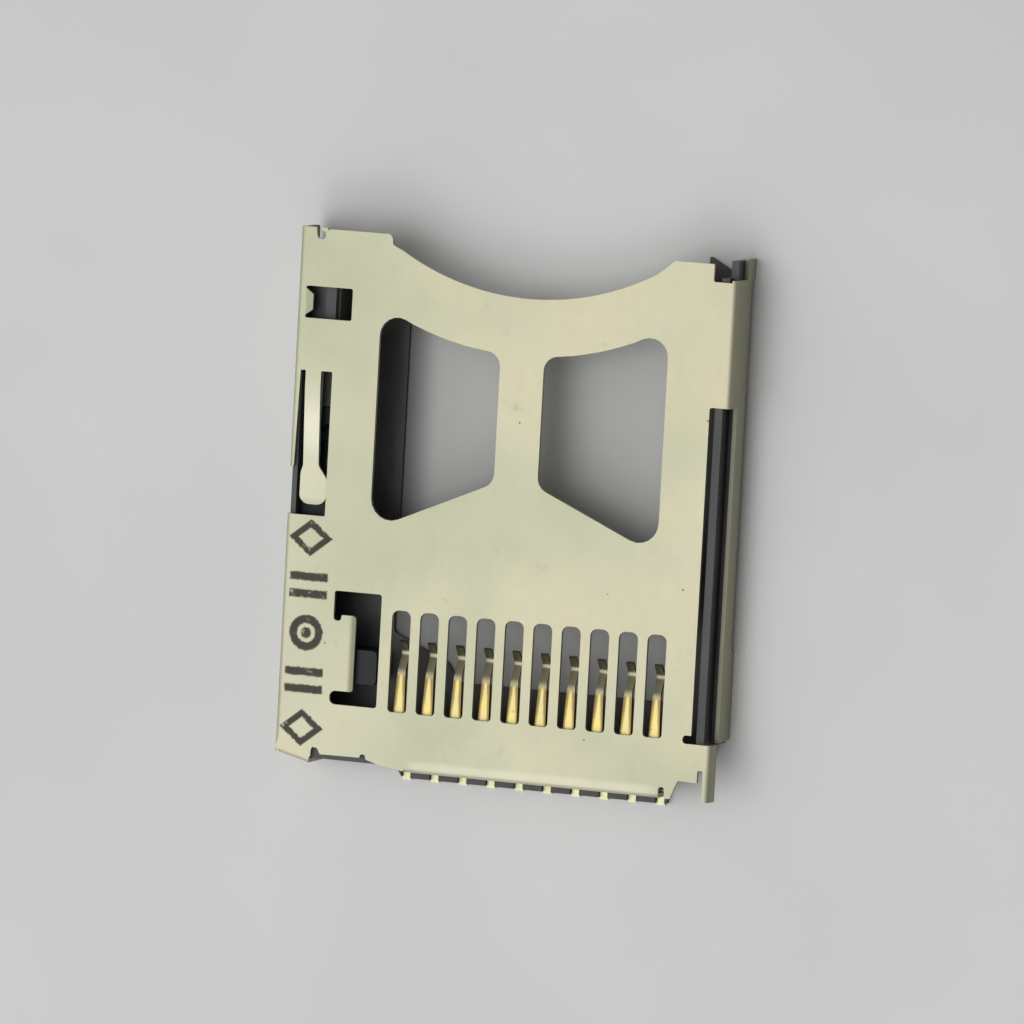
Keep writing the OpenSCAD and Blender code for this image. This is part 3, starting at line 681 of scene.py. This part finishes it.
@dataclass
class CoverShell:
    """The stamped and folded cover with its lanced arm, one sheet of metal."""

    finish: PlatedSheet = PlatedSheet()

    def build(self) -> None:
        """Dresses the cover."""
        dress(Node.COVER.value, self.finish.material())


@dataclass
class MouldedParts:
    """The housing and the slider that runs in it."""

    housing: Moulding = Moulding()
    # the slider's resin is darker than the housing's: painted shade for its place under the cover
    slider: Moulding = Moulding("slider_moulding_painted_shade", dark=(0.005, 0.007, 0.009, 1),
                                light=(0.014, 0.018, 0.023, 1), fibre=(0.040, 0.046, 0.056, 1),
                                shine=0.3)

    def build(self) -> None:
        """Dresses both mouldings."""
        dress(Node.HOUSING.value, self.housing.material())
        dress(Node.SLIDER.value, self.slider.material())


@dataclass
class Latch:
    """The lock pin and the wound return spring."""

    wire_mm: float = 0.18
    turns: int = 17
    closed_pitch: float = 1.06
    section_sides: int = 12
    rings: int = 32
    weld_parts: int = 50
    crease: float = math.radians(50)
    travel: float = 0.0033
    finish: DrawnWire = DrawnWire()

    def _wind(self, start: Vector, mean_radius: float, pitch: float, turns: int) -> bpy.types.Object:
        """Winds one stretch of wire along +Y from a section circle.

        Args:
            start: the point on the spring's axis where the stretch starts.
            mean_radius: the wire's distance from the axis.
            pitch: the rise of one turn.
            turns: the number of turns.

        Returns:
            The wound stretch.
        """
        deselect_all()
        bpy.ops.mesh.primitive_circle_add(vertices=self.section_sides, radius=self.wire_mm * MM / 2,
                                          location=start + Vector((mean_radius, 0, 0)))
        piece = bpy.context.object
        bpy.ops.object.transform_apply(location=True)
        bpy.context.scene.cursor.location = start
        bpy.ops.object.origin_set(type="ORIGIN_CURSOR")
        screw = piece.modifiers.new("wind", "SCREW")
        screw.axis = "Y"
        screw.angle = math.tau * turns
        screw.screw_offset = pitch * turns
        screw.steps = self.rings * turns
        screw.render_steps = screw.steps
        bpy.ops.object.modifier_apply(modifier=screw.name)
        bpy.ops.object.transform_apply(location=True)
        return piece

    def _wound_spring(self) -> bpy.types.Object:
        """Winds the spring in the CAD spring's place: a closed turn, the working turns, a closed turn.

        Returns:
            The spring.
        """
        low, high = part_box(Node.SPRING.value)
        wire = self.wire_mm * MM
        mean_radius = (high.x - low.x - wire) / 2
        closed = wire * self.closed_pitch
        open_pitch = (high.y - low.y - wire - 2 * closed) / self.turns
        centre = Vector(((low.x + high.x) / 2, low.y + wire / 2, (low.z + high.z) / 2))
        stretches = []
        for pitch, turns in ((closed, 1), (open_pitch, self.turns), (closed, 1)):
            stretches.append(self._wind(centre, mean_radius, pitch, turns))
            centre = centre + Vector((0, pitch * turns, 0))
        deselect_all()
        for piece in stretches:
            piece.select_set(True)
        bpy.context.view_layer.objects.active = stretches[0]
        bpy.ops.object.join()
        spring = bpy.context.object
        spring.name = "wound_spring"
        bpy.context.scene.cursor.location = (0, 0, 0)
        bpy.ops.object.origin_set(type="ORIGIN_CURSOR")
        bpy.ops.object.mode_set(mode="EDIT")
        bpy.ops.mesh.select_all(action="SELECT")
        bpy.ops.mesh.remove_doubles(threshold=wire / self.weld_parts)
        bpy.ops.mesh.select_all(action="DESELECT")
        bpy.ops.mesh.select_mode(type="EDGE")
        bpy.ops.mesh.select_non_manifold(extend=False)
        bpy.ops.mesh.edge_face_add()
        bpy.ops.mesh.select_all(action="SELECT")
        bpy.ops.mesh.normals_make_consistent(inside=False)
        bpy.ops.object.mode_set(mode="OBJECT")
        bpy.ops.object.shade_smooth_by_angle(angle=self.crease)
        return spring

    def build(self) -> None:
        """Winds the spring, and dresses it and the pin."""
        steel = self.finish.material()
        dress(Node.PIN.value, steel)
        spring = self._wound_spring()
        spring.data.materials.append(steel)
        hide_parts(Node.SPRING.value)
        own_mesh(spring)
        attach(spring, "frame")
        log.info("%s: wound in %d turns", spring.name, self.turns)


@dataclass
class ContactComb:
    """The ten sprung contacts."""

    finish: ContactPlating = ContactPlating()

    def build(self) -> None:
        """Dresses every contact."""
        gold = self.finish.material()
        for name in sorted(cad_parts):
            if name.startswith("contact_"):
                dress(name, gold)


@dataclass(frozen=True)
class Lamp:
    """A square soft lamp that looks at the connector, with its place, side and power in watts."""

    name: str
    place: tuple
    side: float
    power: float

    def hang(self) -> None:
        """Hangs the lamp."""
        deselect_all()
        bpy.ops.object.light_add(type="AREA", location=self.place)
        lamp = bpy.context.object
        lamp.name = self.name
        lamp.data.shape = "SQUARE"
        lamp.data.size = self.side
        lamp.data.energy = self.power
        lamp.rotation_euler = (-Vector(self.place)).to_track_quat("-Z", "Y").to_euler()


@dataclass
class Studio:
    """The floor, the lamps and the camera of the photograph."""

    floor_side: float = 1.2
    lean: float = math.radians(20.53)
    pitch: float = math.radians(-5.28)
    roll: float = math.radians(3.12)
    distance: float = 0.434
    lens_mm: float = 308.3
    sensor_mm: float = 36.0
    clip_shares: tuple = (0.05, 20)
    aim: tuple = (-0.00004, 0.00026, 0.0013)
    glow_from: tuple = (-0.45, -0.15, 0.88)
    glow: float = 1.00
    dusk: float = 0.10
    glow_spread: tuple = (0.30, 0.95)
    floor: PaleFloor = PaleFloor()
    lamps: tuple = (Lamp("key", (-0.157, -0.041, 0.4185), 0.33, 0.56),
                    Lamp("rear", (-0.05, -0.32, 0.30), 0.18, 0.26))

    def _floor(self) -> None:
        """Lays the floor just under the solder feet."""
        deselect_all()
        bpy.ops.mesh.primitive_grid_add(x_subdivisions=4, y_subdivisions=4, size=self.floor_side)
        floor = bpy.context.object
        floor.name = "floor"
        floor.data.materials.append(self.floor.material())

    def _sky(self) -> None:
        """Sets the soft light of the room: a broad glow overhead on the left, and dusk around it."""
        world = bpy.data.worlds.new("room")
        bpy.context.scene.world = world
        g = Graph(world, "Background")
        towards = g.node("ShaderNodeVectorMath", {"operation": "DOT_PRODUCT"},
                         {0: g.node("ShaderNodeTexCoord", output="Generated"), 1: self.glow_from},
                         output="Value")
        strength = towards.rise(*self.glow_spread) * (self.glow - self.dusk) + self.dusk
        g.finish(Color=(1, 1, 1, 1), Strength=strength)

    def _camera(self) -> None:
        """Stands the camera where the photograph was taken from."""
        away = Vector((math.sin(self.lean) * math.cos(self.pitch), -math.sin(self.pitch),
                       math.cos(self.lean) * math.cos(self.pitch)))
        ahead = Vector((0, 1, 0))
        up = (ahead - away * away.y).normalized()
        right = up.cross(away)
        turned_right = right * math.cos(self.roll) + up * math.sin(self.roll)
        turned_up = up * math.cos(self.roll) - right * math.sin(self.roll)
        deselect_all()
        bpy.ops.object.camera_add()
        camera = bpy.context.object
        stand = Matrix((turned_right, turned_up, away)).transposed().to_4x4()
        stand.translation = Vector(self.aim) + away * self.distance
        camera.matrix_world = stand
        camera.data.sensor_width = self.sensor_mm
        camera.data.lens = self.lens_mm
        near, far = self.clip_shares
        camera.data.clip_start = self.distance * near
        camera.data.clip_end = self.distance * far
        bpy.context.scene.camera = camera

    def build(self) -> None:
        """Sets up the whole studio."""
        self._floor()
        self._sky()
        for lamp in self.lamps:
            lamp.hang()
        self._camera()
        bpy.context.scene.view_settings.view_transform = "Standard"
        log.info("studio: floor, sky, lamps and camera stand")


def main() -> None:
    """Builds every class in order."""
    logging.basicConfig(level=logging.INFO, format="%(message)s")
    for assembly in (CoverShell(), MouldedParts(), Latch(), ContactComb(), Studio()):
        assembly.build()
        log.info("%s: done", type(assembly).__name__)


if __name__ == "__main__":
    main()
